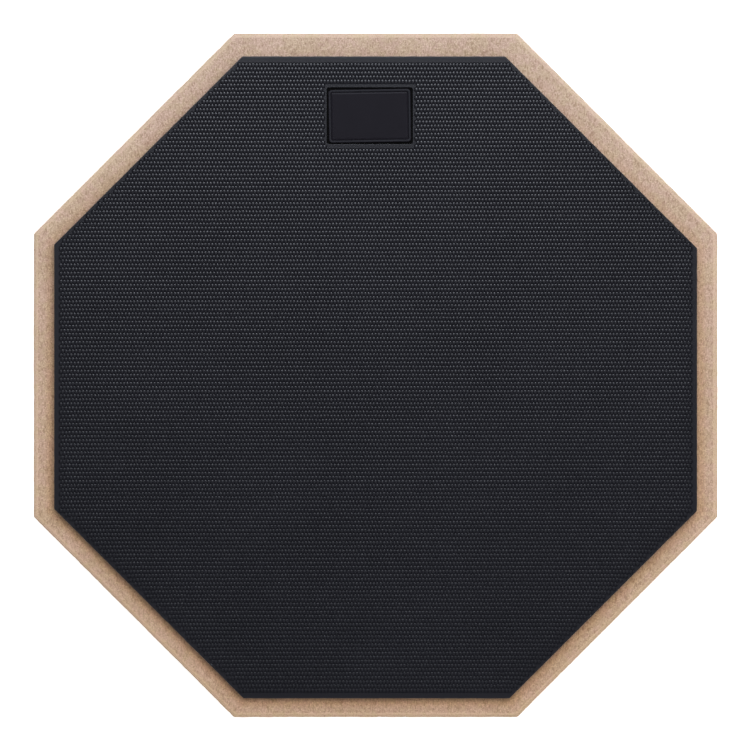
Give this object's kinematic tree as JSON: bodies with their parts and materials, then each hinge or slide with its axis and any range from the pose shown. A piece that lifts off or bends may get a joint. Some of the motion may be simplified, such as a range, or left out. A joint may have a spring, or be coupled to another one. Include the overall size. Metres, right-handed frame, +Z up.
{
  "type": "drum practice pad",
  "caption": "Flat octagonal drum practice pad: textured black rubber playing face on a fibreboard core, with a plain sunk badge and a foam non-slip underside.",
  "frame": {"origin": "on the floor under the middle of the board, at the underside of the base pad", "axes": "+Z up through the playing face, +Y from the middle of the board towards the badge, X and Y square to the board's flats"},
  "size_m": [0.3048, 0.3048, 0.0254],
  "materials": {
    "fibreboard": "unfinished medium-density fibreboard, fine fibres and specks, paler machined edges",
    "playing_rubber": "black moulded rubber with small staggered raised pips, satin",
    "badge_plastic": "black moulded plate with a fine matt grain and a smoother raised rim",
    "base_foam": "black closed-cell foam with a fine cell texture, matt",
    "adhesive": "thin dried contact cement, slightly uneven, amber"
  },
  "bodies": {
    "root": {"board": "fibreboard", "playing_pad": "playing_rubber", "playing_pad_adhesive": "adhesive", "badge": "badge_plastic", "badge_adhesive": "adhesive", "base_pad": "base_foam", "base_pad_adhesive": "adhesive"}
  },
  "joints": []
}
